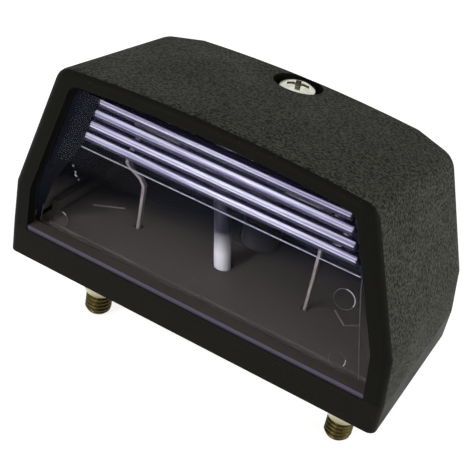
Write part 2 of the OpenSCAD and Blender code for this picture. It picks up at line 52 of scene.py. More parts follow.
def newGroup(name, inputs, outputs):
    group = bpy.data.node_groups.new(name, "ShaderNodeTree")
    for label, kind, value in inputs:
        socket = group.interface.new_socket(name=label, in_out="INPUT", socket_type=kind)
        socket.default_value = value
    for label, kind in outputs:
        group.interface.new_socket(name=label, in_out="OUTPUT", socket_type=kind)
    return group, group.nodes.new("NodeGroupInput"), group.nodes.new("NodeGroupOutput")


def addNode(tree, kind, **settings):
    node = tree.nodes.new(kind)
    for key, value in settings.items():
        setattr(node, key, value)
    return node


def feed(tree, source, target):
    tree.links.new(source, target)


def mathNode(tree, operation, first, second=0.5):
    node = addNode(tree, "ShaderNodeMath", operation=operation)
    for index, value in enumerate((first, second)):
        if isinstance(value, bpy.types.NodeSocket):
            feed(tree, value, node.inputs[index])
        else:
            node.inputs[index].default_value = value
    return node.outputs[0]


def spread(tree, value, low, high, toLow=0.0, toHigh=1.0):
    node = addNode(tree, "ShaderNodeMapRange", clamp=True)
    feed(tree, value, node.inputs["Value"])
    for label, number in zip(("From Min", "From Max", "To Min", "To Max"), (low, high, toLow, toHigh)):
        node.inputs[label].default_value = number
    return node.outputs[0]


def blendColour(tree, factor, first, second):
    node = addNode(tree, "ShaderNodeMix", data_type="RGBA")
    feed(tree, factor, node.inputs[0])
    for index, value in ((6, first), (7, second)):
        if isinstance(value, bpy.types.NodeSocket):
            feed(tree, value, node.inputs[index])
        else:
            node.inputs[index].default_value = (*value, 1)
    return node.outputs[2]


# moulded grain: fine pits and a slow tone, both from the piece's own place
grainGroup, groupIn, groupOut = newGroup(
    "mouldGrain",
    [("Scale", "NodeSocketFloat", 3200), ("Fleck", "NodeSocketFloat", 0.5)],
    [("Height", "NodeSocketFloat"), ("Fleck", "NodeSocketFloat"), ("Tone", "NodeSocketFloat")],
)
place = addNode(grainGroup, "ShaderNodeTexCoord")
fineNoise = addNode(grainGroup, "ShaderNodeTexNoise")
fineNoise.inputs["Detail"].default_value = 3
fineNoise.inputs["Roughness"].default_value = 0.62
feed(grainGroup, place.outputs["Object"], fineNoise.inputs["Vector"])
feed(grainGroup, groupIn.outputs["Scale"], fineNoise.inputs["Scale"])
pits = addNode(grainGroup, "ShaderNodeTexVoronoi")
feed(grainGroup, place.outputs["Object"], pits.inputs["Vector"])
feed(grainGroup, mathNode(grainGroup, "MULTIPLY", groupIn.outputs["Scale"], 0.8), pits.inputs["Scale"])
height = mathNode(grainGroup, "ADD", mathNode(grainGroup, "MULTIPLY", fineNoise.outputs[0], 0.6),
                  mathNode(grainGroup, "MULTIPLY", pits.outputs["Distance"], 0.5))
feed(grainGroup, height, groupOut.inputs["Height"])
fleck = spread(grainGroup, fineNoise.outputs[0], 0.42, 0.58)
feed(grainGroup, mathNode(grainGroup, "MULTIPLY", fleck, groupIn.outputs["Fleck"]), groupOut.inputs["Fleck"])
slowNoise = addNode(grainGroup, "ShaderNodeTexNoise")
slowNoise.inputs["Scale"].default_value = 90
slowNoise.inputs["Detail"].default_value = 2
feed(grainGroup, place.outputs["Object"], slowNoise.inputs["Vector"])
feed(grainGroup, slowNoise.outputs[0], groupOut.inputs["Tone"])

# worn edges: the bevelled normal leaves the true one near an edge
edgeGroup, groupIn, groupOut = newGroup(
    "edgeRub",
    [("Width", "NodeSocketFloat", 0.0004), ("Amount", "NodeSocketFloat", 0.5)],
    [("Mask", "NodeSocketFloat")],
)
bevelled = addNode(edgeGroup, "ShaderNodeBevel", samples=4)
feed(edgeGroup, groupIn.outputs["Width"], bevelled.inputs["Radius"])
trueNormal = addNode(edgeGroup, "ShaderNodeNewGeometry")
closeness = addNode(edgeGroup, "ShaderNodeVectorMath", operation="DOT_PRODUCT")
feed(edgeGroup, bevelled.outputs[0], closeness.inputs[0])
feed(edgeGroup, trueNormal.outputs["Normal"], closeness.inputs[1])
rubNoise = addNode(edgeGroup, "ShaderNodeTexNoise")
rubNoise.inputs["Scale"].default_value = 700
place = addNode(edgeGroup, "ShaderNodeTexCoord")
feed(edgeGroup, place.outputs["Object"], rubNoise.inputs["Vector"])
edgeMask = spread(edgeGroup, closeness.outputs["Value"], 0.995, 0.86)
edgeMask = mathNode(edgeGroup, "MULTIPLY", edgeMask, spread(edgeGroup, rubNoise.outputs[0], 0.35, 0.7))
feed(edgeGroup, mathNode(edgeGroup, "MULTIPLY", edgeMask, groupIn.outputs["Amount"]), groupOut.inputs["Mask"])

# dust: loose specks, thickest on faces that look up
dustGroup, groupIn, groupOut = newGroup(
    "dustSpecks",
    [("Amount", "NodeSocketFloat", 0.3), ("Scale", "NodeSocketFloat", 900)],
    [("Mask", "NodeSocketFloat")],
)
place = addNode(dustGroup, "ShaderNodeTexCoord")
speckCells = addNode(dustGroup, "ShaderNodeTexVoronoi")
feed(dustGroup, place.outputs["Object"], speckCells.inputs["Vector"])
feed(dustGroup, groupIn.outputs["Scale"], speckCells.inputs["Scale"])
facing = addNode(dustGroup, "ShaderNodeSeparateXYZ")
surface = addNode(dustGroup, "ShaderNodeNewGeometry")
feed(dustGroup, surface.outputs["Normal"], facing.inputs[0])
upward = spread(dustGroup, facing.outputs["Z"], -0.2, 0.9, 0.35, 1)
specks = spread(dustGroup, speckCells.outputs["Distance"], 0.16, 0.06)
lying = mathNode(dustGroup, "MULTIPLY", specks, upward)
feed(dustGroup, mathNode(dustGroup, "MULTIPLY", lying, groupIn.outputs["Amount"]), groupOut.inputs["Mask"])
dustColour = (0.32, 0.31, 0.29)


def placeGroup(tree, group, **values):
    node = addNode(tree, "ShaderNodeGroup", node_tree=group)
    for label, value in values.items():
        node.inputs[label].default_value = value
    return node


def newMaterial(name, shown):
    material = bpy.data.materials.new(name)
    material.use_nodes = True
    material.diffuse_color = (*shown, 1)
    tree = material.node_tree
    return material, tree, tree.nodes["Principled BSDF"]


def bumpNode(tree, shader, heightSocket, strength, distance):
    bump = addNode(tree, "ShaderNodeBump")
    bump.inputs["Strength"].default_value = strength
    bump.inputs["Distance"].default_value = distance
    feed(tree, heightSocket, bump.inputs["Height"])
    feed(tree, bump.outputs[0], shader.inputs["Normal"])


def mouldedPlastic(name, look):
    material, tree, shader = newMaterial(name, look["colour"])
    grain = placeGroup(tree, grainGroup, Scale=look["grainScale"], Fleck=look["fleck"])
    rub = placeGroup(tree, edgeGroup, Width=look["edgeWidth"], Amount=look["edgeAmount"])
    dust = placeGroup(tree, dustGroup, Amount=look["dust"])
    toned = blendColour(tree, grain.outputs["Tone"], look["dark"], look["colour"])
    flecked = blendColour(tree, grain.outputs["Fleck"], toned, look["light"])
    rubbed = blendColour(tree, rub.outputs["Mask"], flecked, look["rubColour"])
    finished = blendColour(tree, dust.outputs["Mask"], rubbed, dustColour)
    if "shade" in look:
        # painted shade: the colour turns darker along one direction of the piece
        direction, start, end, shadeColour = look["shade"]
        place = addNode(tree, "ShaderNodeTexCoord")
        along = addNode(tree, "ShaderNodeVectorMath", operation="DOT_PRODUCT")
        feed(tree, place.outputs["Object"], along.inputs[0])
        along.inputs[1].default_value = direction
        shaded = spread(tree, along.outputs["Value"], start * mm, end * mm)
        finished = blendColour(tree, shaded, finished, shadeColour)
    feed(tree, finished, shader.inputs["Base Color"])
    feed(tree, spread(tree, grain.outputs["Tone"], 0.3, 0.7, look["smoothest"], look["roughest"]),
         shader.inputs["Roughness"])
    shader.inputs["Specular IOR Level"].default_value = look["shine"]
    bumpNode(tree, shader, grain.outputs["Height"], look["bump"], look["bumpDepth"])
    return material


def platedMetal(name, look):
    material, tree, shader = newMaterial(name, look["colour"])
    grain = placeGroup(tree, grainGroup, Scale=look["grainScale"], Fleck=look["fleck"])
    rub = placeGroup(tree, edgeGroup, Width=0.0002, Amount=look["edgeAmount"])
    toned = blendColour(tree, grain.outputs["Tone"], look["dark"], look["colour"])
    flecked = blendColour(tree, grain.outputs["Fleck"], toned, look["light"])
    rubbed = blendColour(tree, rub.outputs["Mask"], flecked, look["rubColour"])
    feed(tree, rubbed, shader.inputs["Base Color"])
    feed(tree, spread(tree, grain.outputs["Tone"], 0.3, 0.7, look["smoothest"], look["roughest"]),
         shader.inputs["Roughness"])
    shader.inputs["Metallic"].default_value = look["metal"]
    bumpNode(tree, shader, grain.outputs["Height"], look["bump"], 0.00002)
    return material


def letLightPass(material, passed):
    # light for the pieces behind it passes straight through
    tree = material.node_tree
    clear = addNode(tree, "ShaderNodeBsdfTransparent")
    clear.inputs["Color"].default_value = (*passed, 1)
    rays = addNode(tree, "ShaderNodeLightPath")
    join = addNode(tree, "ShaderNodeMixShader")
    feed(tree, rays.outputs["Is Shadow Ray"], join.inputs[0])
    feed(tree, tree.nodes["Principled BSDF"].outputs[0], join.inputs[1])
    feed(tree, clear.outputs[0], join.inputs[2])
    feed(tree, join.outputs[0], tree.nodes["Material Output"].inputs["Surface"])
    return material


def clearPlastic(name, look):
    material, tree, shader = newMaterial(name, look["colour"])
    shader.inputs["Base Color"].default_value = (*look["colour"], 1)
    shader.inputs["Transmission Weight"].default_value = look["clearness"]
    shader.inputs["IOR"].default_value = look["ior"]
    shader.inputs["Specular Tint"].default_value = (*look["gleam"], 1)
    grain = placeGroup(tree, grainGroup, Scale=look["grainScale"], Fleck=1.0)
    dust = placeGroup(tree, dustGroup, Amount=look["dust"], Scale=700)
    haze = spread(tree, grain.outputs["Tone"], 0.35, 0.75, look["smoothest"], look["roughest"])
    dusty = mathNode(tree, "MULTIPLY", dust.outputs["Mask"], 0.5)
    feed(tree, mathNode(tree, "ADD", haze, dusty), shader.inputs["Roughness"])
    bumpNode(tree, shader, grain.outputs["Tone"], look["bump"], 0.0003)
    return letLightPass(material, look["passed"])


# mesh helpers

def linkMesh(name, mesh, material):
    piece = bpy.data.objects.new(name, mesh)
    scene.collection.objects.link(piece)
    mesh.materials.append(material)
    return piece


def smoothByAngle(mesh, sharpAngle):
    work = bmesh.new()
    work.from_mesh(mesh)
    for face in work.faces:
        face.smooth = True
    for edge in work.edges:
        edge.smooth = edge.calc_face_angle(0) < math.radians(sharpAngle)
    work.to_mesh(mesh)
    work.free()


def dressNode(nodeName, pieceName, material, shape):
    # the node's own mesh, joined up again, with soft edges and a finish
    work = bmesh.new()
    work.from_mesh(nodes[nodeName].data)
    bmesh.ops.remove_doubles(work, verts=work.verts, dist=2e-6)
    bmesh.ops.dissolve_limit(work, angle_limit=math.radians(0.5), verts=work.verts, edges=work.edges)
    work.verts.index_update()
    places = [tuple(v.co) for v in work.verts]
    faces = [[v.index for v in f.verts] for f in work.faces]
    work.free()
    mesh = bpy.data.meshes.new(pieceName)
    mesh.from_pydata(places, [], faces)
    mesh.validate()
    smoothByAngle(mesh, shape["sharpAngle"])
    piece = linkMesh(pieceName, mesh, material)
    if shape["bevel"] > 0:
        bevel = piece.modifiers.new("softEdges", "BEVEL")
        bevel.width = shape["bevel"]
        bevel.segments = shape.get("segments", 2)
        bevel.limit_method = "ANGLE"
        bevel.angle_limit = math.radians(shape["sharpAngle"])
        bevel.harden_normals = True
    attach(piece, "root")
    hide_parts(nodeName)
    return piece


def inwardFaces(piece):
    # faces that look at their own piece, such as the sides of a slot
    mesh = piece.data
    tree = BVHTree.FromPolygons([v.co for v in mesh.vertices], [tuple(p.vertices) for p in mesh.polygons])
    found = []
    for polygon in mesh.polygons:
        hit = tree.ray_cast(polygon.center + polygon.normal * 0.02 * mm, polygon.normal, 0.1)[0]
        if hit is not None:
            found.append(polygon)
    return found


def roundPiece(name, rows, segments, material, sharpAngle=35, bore=None):
    # rows of (height, radius or function of the angle), closed at both ends or open round a bore
    places, faces = [], []
    for z, radius in rows:
        for i in range(segments):
            angle = 2 * math.pi * i / segments
            r = radius(angle) if callable(radius) else radius
            places.append((r * math.cos(angle), r * math.sin(angle), z))
    count = len(rows)
    for row in range(count - 1):
        for i in range(segments):
            j = (i + 1) % segments
            under, over = row * segments, (row + 1) * segments
            faces.append((under + i, under + j, over + j, over + i))
    if bore is None:
        faces.append(tuple(reversed(range(segments))))
        faces.append(tuple((count - 1) * segments + i for i in range(segments)))
    else:
        boreStart = len(places)
        for z in (rows[0][0], rows[-1][0]):
            for i in range(segments):
                angle = 2 * math.pi * i / segments
                places.append((bore * math.cos(angle), bore * math.sin(angle), z))
        last = (count - 1) * segments
        for i in range(segments):
            j = (i + 1) % segments
            faces.append((boreStart + i, boreStart + j, j, i))
            faces.append((last + i, last + j, boreStart + segments + j, boreStart + segments + i))
            faces.append((boreStart + segments + i, boreStart + segments + j, boreStart + j, boreStart + i))
    mesh = bpy.data.meshes.new(name)
    mesh.from_pydata(places, [], faces)
    smoothByAngle(mesh, sharpAngle)
    return linkMesh(name, mesh, material)


def wirePath(name, points, radius, material, sides=8):
    # round wire through the points
    places, faces = [], []
    for index, point in enumerate(points):
        before = points[max(index - 1, 0)]
        after = points[min(index + 1, len(points) - 1)]
        along = (Vector(after) - Vector(before)).normalized()
        turn = along.to_track_quat("Z", "Y").to_matrix()
        for side in range(sides):
            angle = 2 * math.pi * side / sides
            offset = turn @ Vector((math.cos(angle) * radius, math.sin(angle) * radius, 0))
            places.append(tuple(Vector(point) + offset))
    for index in range(len(points) - 1):
        for side in range(sides):
            nextSide = (side + 1) % sides
            faces.append((index * sides + side, index * sides + nextSide,
                          (index + 1) * sides + nextSide, (index + 1) * sides + side))
    faces.append(tuple(reversed(range(sides))))
    faces.append(tuple((len(points) - 1) * sides + side for side in range(sides)))
    mesh = bpy.data.meshes.new(name)
    mesh.from_pydata(places, [], faces)
    smoothByAngle(mesh, 60)
    return linkMesh(name, mesh, material)


# housing: cover and base
# painted shade inside the hood: the brown of the floor turns to navy along this direction, between these two
# depths in millimetres
insideShadeFade = ((-0.11, 0.48, 0.87), 7.9, 12.7)
coverLook = {
    "colour": (0.0100, 0.0096, 0.0076), "dark": (0.0072, 0.0090, 0.0070), "light": (0.072, 0.072, 0.059),
    "rubColour": (0.08, 0.08, 0.07), "grainScale": 1900, "fleck": 0.95, "edgeWidth": 0.0005,
    "edgeAmount": 0.15, "dust": 0.06, "smoothest": 0.62, "roughest": 0.78, "shine": 0.05, "bump": 1.0,
    "bumpDepth": 0.00022,
}
rimLook = {
    "colour": (0.0078, 0.0074, 0.0058), "dark": (0.0058, 0.0060, 0.0046), "light": (0.0100, 0.0096, 0.0078),
    "rubColour": (0.04, 0.04, 0.035), "grainScale": 5200, "fleck": 0.3, "edgeWidth": 0.0003,
    "edgeAmount": 0.25, "dust": 0.06, "smoothest": 0.42, "roughest": 0.56, "shine": 0.03, "bump": 0.10,
    "bumpDepth": 0.00003,
}
# inside of the hood: brown like the lit floor low down, painted light on walls that stand in shade, turning
# to navy painted shade higher up
hoodLook = {
    "colour": (0.150, 0.133, 0.110), "dark": (0.128, 0.113, 0.095), "light": (0.168, 0.150, 0.126),
    "rubColour": (0.02, 0.02, 0.02), "grainScale": 2600, "fleck": 0.3, "edgeWidth": 0.0003,
    "edgeAmount": 0.1, "dust": 0.02, "smoothest": 0.45, "roughest": 0.60, "shine": 0.05, "bump": 0.04,
    "bumpDepth": 0.00002, "shade": (*insideShadeFade, (0.0052, 0.0084, 0.0170)),
}
baseLook = {
    "colour": (0.0110, 0.0096, 0.0076), "dark": (0.0082, 0.0080, 0.0062), "light": (0.0140, 0.0126, 0.0102),
    "rubColour": (0.05, 0.05, 0.045), "grainScale": 5200, "fleck": 0.35, "edgeWidth": 0.0003,
    "edgeAmount": 0.3, "dust": 0.10, "smoothest": 0.42, "roughest": 0.56, "shine": 0.04, "bump": 0.12,
    "bumpDepth": 0.00003,
}
# the floor plate's own brown turns to navy towards the back: painted shade
plateLook = {
    "colour": (0.110, 0.097, 0.080), "dark": (0.094, 0.083, 0.070), "light": (0.124, 0.111, 0.094),
    "rubColour": (0.12, 0.11, 0.10), "grainScale": 1500, "fleck": 0.3, "edgeWidth": 0.0002,
    "edgeAmount": 0.3, "dust": 0.10, "smoothest": 0.42, "roughest": 0.60, "shine": 0.2, "bump": 0.04,
    "bumpDepth": 0.00002, "shade": (*insideShadeFade, (0.0062, 0.0108, 0.0215)),
}
coverGrain = mouldedPlastic("coverGrain", coverLook)
rimSmooth = mouldedPlastic("rimSmooth", rimLook)
hoodInside = mouldedPlastic("hoodInside", hoodLook)
baseSmooth = mouldedPlastic("baseSmooth", baseLook)
greyPlate = mouldedPlastic("greyPlate", plateLook)

# bevels in metres, the rest in millimetres
coverShape = {
    "sharpAngle": 30, "bevel": 0.00022, "frontLean": 5.1, "frontFoot": (0, -21, 6.5), "rimDepth": 1.7,
    "rimTurn": 0.25, "recess": 7.0, "middle": (0, 0, 22), "outward": 12, "screwSeat": 6,
}
baseShape = {
    "sharpAngle": 30, "bevel": 0.00028, "top": 6.5, "rim": 6.6, "rimHalf": 41, "inside": 39.2,
    "insideBack": 18, "grooveFront": -18.4, "grooveBack": -15.5, "grooveLow": 5.3, "grooveHalf": 40.5,
}
frontLean = math.radians(coverShape["frontLean"])
frontNormal = Vector((0, -math.cos(frontLean), -math.sin(frontLean)))


def frontDepth(point):
    # how far in front of the cover's leaning front a point lies, less than nothing behind it
    return (point - Vector(coverShape["frontFoot"]) * mm).dot(frontNormal)


cover = dressNode("cover", "texturedCover", coverGrain, coverShape)
# slot 1 is the smooth rim, slot 2 the inside
cover.data.materials.append(rimSmooth)
cover.data.materials.append(hoodInside)
middle = Vector(coverShape["middle"]) * mm
screwLow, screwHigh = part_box("cover_screw")
screwMiddle = (screwLow + screwHigh) / 2
for polygon in cover.data.polygons:
    depth = frontDepth(polygon.center)
    # the rim is smooth round to where the grain starts behind its rounded corner
    if polygon.normal.dot(frontNormal) > coverShape["rimTurn"] and depth > -coverShape["rimDepth"] * mm:
        polygon.material_index = 1
    # a face that isn't far out from the middle looks inwards
    if polygon.normal.dot(polygon.center - middle) < coverShape["outward"] * mm:
        offset = polygon.center - screwMiddle
        nearScrew = math.hypot(offset.x, offset.y) < coverShape["screwSeat"] * mm
        inSeat = nearScrew and polygon.center.z > screwLow.z
        inRecess = depth > -coverShape["recess"] * mm
        polygon.material_index = 1 if inSeat or inRecess else 2
base = dressNode("base", "mouldedBase", baseSmooth, baseShape)
base.data.materials.append(greyPlate)
# the top of the plinth is cut along the hood's inner walls, so that its inside can have the floor's colour
work = bmesh.new()
work.from_mesh(base.data)
cuts = (
    ((-baseShape["inside"], 0), (1, 0, 0)), ((baseShape["inside"], 0), (1, 0, 0)),
    ((0, baseShape["grooveFront"]), (0, 1, 0)), ((0, baseShape["insideBack"]), (0, 1, 0)),
)
for place, direction in cuts:
    flat = [face for face in work.faces if face.normal.z > 0.9
            and abs(face.calc_center_median().z / mm - baseShape["top"]) < 0.02]
    edges = {edge for face in flat for edge in face.edges}
    corners = {vertex for face in flat for vertex in face.verts}
    bmesh.ops.bisect_plane(work, geom=flat + list(edges) + list(corners), plane_co=Vector((*place, 0)) * mm,
                           plane_no=direction)
work.to_mesh(base.data)
work.free()
for polygon in base.data.polygons:
    # what stands inside the hood has the floor's colour, with its painted shade; the lens's groove gets the
    # floor's brown too, as painted light over the groove's shade
    x, y, z = polygon.center / mm
    raised = z > baseShape["rim"] and abs(x) < baseShape["rimHalf"]
    level = (z > baseShape["top"] - 0.1 and abs(x) < baseShape["inside"]
             and baseShape["grooveFront"] < y < baseShape["insideBack"])
    groove = (z > baseShape["grooveLow"] and abs(x) < baseShape["grooveHalf"]
              and baseShape["grooveFront"] < y < baseShape["grooveBack"])
    if raised or level or groove:
        polygon.material_index = 1
print("housing dressed")


# clear lens with its ribs
lensLook = {
    "colour": (0.92, 0.92, 0.985), "passed": (0.62, 0.62, 0.66), "ior": 1.12, "grainScale": 3000,
    "dust": 0.12, "smoothest": 0.01, "roughest": 0.03, "bump": 0.01, "gleam": (0.05, 0.05, 0.06),
    "clearness": 1.0,
}
# the ribs' pale crests and dark violet grooves are painted highlight and painted shade
ribLook = {
    "crestHighlight": (0.72, 0.69, 0.79), "groove": (0.018, 0.014, 0.044), "lines": (0.16, 0.135, 0.27),
    "clearness": 0.25, "ior": 1.49, "roughness": 0.12, "low": -0.06, "high": 0.82, "soft": 0.12,
    "lineScale": 2600, "seam": 0.32, "seamEdge": (0.15, 0.05), "streakEdge": (0.50, 0.36), "seamShare": 0.8,
    "lineStretch": 0.012,
}
# the lens foot's front: violet, a painted highlight, darkening to painted shade at its bottom
footHighlightLook = {
    "colour": (0.092, 0.076, 0.128), "dark": (0.070, 0.059, 0.096), "light": (0.112, 0.094, 0.156),
    "rubColour": (0.14, 0.13, 0.17), "grainScale": 1500, "fleck": 0.3, "edgeWidth": 0.0002,
    "edgeAmount": 0.1, "dust": 0.05, "smoothest": 0.30, "roughest": 0.45, "shine": 0.15, "bump": 0.08,
    "bumpDepth": 0.00003, "shade": ((0, 0, 1), 7.1, 6.7, (0.018, 0.016, 0.015)),
}
# the foot's top is opaque and floor-brown: painted light over the shaded gap behind the foot
footTopPaintedLightLook = dict(plateLook, colour=(0.100, 0.088, 0.078), dark=(0.085, 0.075, 0.066),
                   light=(0.115, 0.102, 0.090))
footTopPaintedLightLook.pop("shade")
# the lens's clear side faces are painted dark navy: painted shade
sideShadeLook = {
    "colour": (0.0080, 0.0092, 0.0150), "dark": (0.0060, 0.0068, 0.0105), "light": (0.0110, 0.0120, 0.0190),
    "rubColour": (0.03, 0.03, 0.04), "grainScale": 900, "fleck": 0.3, "edgeWidth": 0.0002,
    "edgeAmount": 0.1, "dust": 0.02, "smoothest": 0.30, "roughest": 0.45, "shine": 0.04, "bump": 0.04,
    "bumpDepth": 0.00003,
}


def ribPaintedLight(name, look):
    # painted highlight and shade: the crest of each rib, found by the direction of its surface, is painted
    # pale, and the grooves between are painted dark violet
    material, tree, shader = newMaterial(name, look["crestHighlight"])
    surface = addNode(tree, "ShaderNodeNewGeometry")
    slope = addNode(tree, "ShaderNodeSeparateXYZ")
    feed(tree, surface.outputs["Normal"], slope.inputs[0])
    above = spread(tree, slope.outputs["Z"], look["low"], look["low"] + look["soft"])
    below = spread(tree, slope.outputs["Z"], look["high"], look["high"] - look["soft"])
    crestHighlight = mathNode(tree, "MULTIPLY", above, below)
    # a thin darker line runs along the middle of each painted highlight
    fromSeam = mathNode(tree, "ABSOLUTE", mathNode(tree, "SUBTRACT", slope.outputs["Z"], look["seam"]))
    seam = spread(tree, fromSeam, *look["seamEdge"])
    place = addNode(tree, "ShaderNodeTexCoord")
    stretched = addNode(tree, "ShaderNodeMapping")
    stretched.inputs["Scale"].default_value = (look["lineStretch"], 1, 1)
    feed(tree, place.outputs["Object"], stretched.inputs["Vector"])
    drawn = addNode(tree, "ShaderNodeTexNoise")
    drawn.inputs["Scale"].default_value = look["lineScale"]
    drawn.inputs["Detail"].default_value = 2
    feed(tree, stretched.outputs[0], drawn.inputs["Vector"])
    drawnLines = spread(tree, drawn.outputs[0], *look["streakEdge"])
    streaks = mathNode(tree, "MAXIMUM", drawnLines, mathNode(tree, "MULTIPLY", seam, look["seamShare"]))
    streaked = blendColour(tree, streaks, look["crestHighlight"], look["lines"])
    feed(tree, blendColour(tree, crestHighlight, look["groove"], streaked), shader.inputs["Base Color"])
    feed(tree, spread(tree, drawn.outputs[0], 0.3, 0.7, look["roughness"], look["roughness"] * 2),
         shader.inputs["Roughness"])
    shader.inputs["Transmission Weight"].default_value = look["clearness"]
    shader.inputs["IOR"].default_value = look["ior"]
    return material


clearLens = clearPlastic("clearLens", lensLook)
ribPaintedHighlight = ribPaintedLight("ribPaintedHighlight", ribLook)
footHighlightViolet = letLightPass(mouldedPlastic("footHighlightViolet", footHighlightLook), lensLook["passed"])
footTop = letLightPass(mouldedPlastic("footTop", footTopPaintedLightLook), lensLook["passed"])
sideShadeNavy = mouldedPlastic("sideShadeNavy", sideShadeLook)
lensShape = {
    "sharpAngle": 24, "bevel": 0.00012, "creaseHeight": 27.8, "recess": 6.4, "footRecess": 2.8,
    "ribFoot": 1.7, "lift": 0.03, "footTop": 7.9, "footFront": -16.5, "sideTurn": 0.15,
}


def frontPlane(z):
    y, foot = coverShape["frontFoot"][1:]
    return y - (z - foot) * math.tan(frontLean)


def windowPlace(x, z):
    # a place on the window, which sinks deeper behind the front up to the crease
    low, high = coverShape["frontFoot"][2], lensShape["creaseHeight"]
    sink = lensShape["recess"] - lensShape["footRecess"]
    depth = lensShape["footRecess"] + sink * (z - low) / (high - low)
    return Vector((x, frontPlane(z) + depth, z)) * mm


lens = dressNode("lens", "ribbedLens", clearLens, lensShape)
# slots 1 to 4, in this order
for finish in (ribPaintedHighlight, footHighlightViolet, footTop, sideShadeNavy):
    lens.data.materials.append(finish)
for polygon in lens.data.polygons:
    # what stands out in front of the upper window is a rib, with painted highlight and shade; the foot is
    # painted, its front as a highlight and its top as light, and the faces at the sides are painted dark as
    # shade
    x, y, z = polygon.center / mm
    window = frontPlane(z) + lensShape["recess"]
    sideways = abs(polygon.normal.x) > lensShape["sideTurn"]
    aboveCrease = z > lensShape["creaseHeight"] + lensShape["ribFoot"]
    if aboveCrease and y < window - lensShape["lift"] and not sideways:
        polygon.material_index = 1
    elif z < lensShape["footTop"] and y < lensShape["footFront"] and polygon.normal.y < 0.5:
        polygon.material_index = 3 if polygon.normal.z > 0.5 else 2
    elif sideways:
        polygon.material_index = 4

# thin lines and rings that show on the window: the crease as a painted highlight, pin marks with painted
# glints, a few scuffs, and painted reflections along the edges
creaseHighlightLook = {
    "colour": (0.24, 0.24, 0.27), "dark": (0.13, 0.13, 0.16), "light": (0.40, 0.40, 0.44),
    "rubColour": (0.5, 0.5, 0.5), "grainScale": 900, "fleck": 0.6, "edgeWidth": 0.0002, "edgeAmount": 0.2,
    "dust": 0.1, "smoothest": 0.25, "roughest": 0.40, "shine": 0.5, "bump": 0.1, "bumpDepth": 0.00003,
}
pinLook = dict(creaseHighlightLook, colour=(0.040, 0.037, 0.035), dark=(0.030, 0.028, 0.027),
               light=(0.05, 0.047, 0.045))
glintLook = dict(creaseHighlightLook, colour=(0.70, 0.70, 0.72), dark=(0.5, 0.5, 0.53), light=(0.85, 0.85, 0.87))
edgeReflectionLook = dict(creaseHighlightLook, colour=(0.09, 0.085, 0.11), dark=(0.06, 0.055, 0.075), light=(0.14, 0.13, 0.16))
creaseHighlightAndScuff = mouldedPlastic("creaseHighlightAndScuff", creaseHighlightLook)
pinShade = mouldedPlastic("pinShade", pinLook)
pinGlint = mouldedPlastic("pinGlint", glintLook)
edgeReflection = mouldedPlastic("edgeReflection", edgeReflectionLook)
lineLook = {"creaseWire": 0.15, "creaseHalf": 30.0, "edgeWire": 0.07, "scuffWire": 0.17, "glintWidth": 1.5}
pinMarks = [
    {"x": -32.2, "z": 10.6, "radius": 1.6, "wire": 0.06, "glint": (50, 85)},
    {"x": -0.45, "z": 10.2, "radius": 1.8, "wire": 0.06, "glint": None},
    {"x": 30.5, "z": 10.0, "radius": 1.7, "wire": 0.06, "glint": (-25, 22)},
    {"x": 28.4, "z": 22.3, "radius": 2.05, "wire": 0.07, "glint": (-20, 95)},
]


def windowArc(mark, start, stop, steps):
    points = []
    for step in range(steps + 1):
        angle = math.radians(start + (stop - start) * step / steps)
        points.append(windowPlace(mark["x"] + mark["radius"] * math.cos(angle),
                                  mark["z"] + mark["radius"] * math.sin(angle)))
    return points


creaseStops = (-lineLook["creaseHalf"], -15, 0, 15, lineLook["creaseHalf"])
creasePoints = [windowPlace(x, lensShape["creaseHeight"]) for x in creaseStops]
crease = wirePath("lensCrease", creasePoints, lineLook["creaseWire"] * mm, creaseHighlightAndScuff)
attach(crease, "root")
for index, mark in enumerate(pinMarks):
    ring = wirePath(f"pinMark.{index + 1}", windowArc(mark, 0, 360, 40), mark["wire"] * mm, pinShade, sides=6)
    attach(ring, "root")
    if mark["glint"]:
        arc = wirePath(f"pinGlint.{index + 1}", windowArc(mark, *mark["glint"], 16),
                       mark["wire"] * lineLook["glintWidth"] * mm, pinGlint, sides=6)
        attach(arc, "root")
# thin dim lines along the lens's side edges: painted reflection
edgeLines = {
    "left": [(-36.9, 8.0), (-36.7, 13.0), (-36.4, 17.6)],
    "right": [(35.6, 7.9), (33.4, 15.6), (31.2, 23.5), (30.3, 27.4)],
}
scuffs = [
    [(-31.25, 23.2), (-31.1, 22.9)], [(-30.55, 22.1), (-30.35, 21.7)], [(-30.5, 21.4), (-30.0, 21.2)],
    [(-29.6, 20.8), (-29.4, 20.6)], [(-34.45, 20.1), (-34.3, 19.9)],
]
for index, line in enumerate(scuffs):
    points = [windowPlace(x, z) for x, z in line]
    scuff = wirePath(f"lensScuff.{index + 1}", points, lineLook["scuffWire"] * mm, creaseHighlightAndScuff, sides=6)
    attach(scuff, "root")
for side, line in edgeLines.items():
    points = [windowPlace(x, z) for x, z in line]
    edge = wirePath(f"lensEdge.{side}", points, lineLook["edgeWire"] * mm, edgeReflection, sides=6)
    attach(edge, "root")
print("lens dressed")


# rubber pieces
rubberLook = {
    "colour": (0.018, 0.018, 0.018), "dark": (0.013, 0.013, 0.013), "light": (0.028, 0.028, 0.027),
    "rubColour": (0.05, 0.05, 0.05), "grainScale": 4200, "fleck": 0.4, "edgeWidth": 0.0002,
    "edgeAmount": 0.3, "dust": 0.2, "smoothest": 0.7, "roughest": 0.85, "shine": 0.25, "bump": 0.3,
    "bumpDepth": 0.00004,
}
blackRubber = mouldedPlastic("blackRubber", rubberLook)
dressNode("lens_gasket", "lensSeal", blackRubber, {"sharpAngle": 30, "bevel": 0.00005})
dressNode("screw_seal", "screwWasherSeal", blackRubber, {"sharpAngle": 30, "bevel": 0.0001})
dressNode("cable_grommet", "wireGrommet", blackRubber, {"sharpAngle": 30, "bevel": 0.00015})


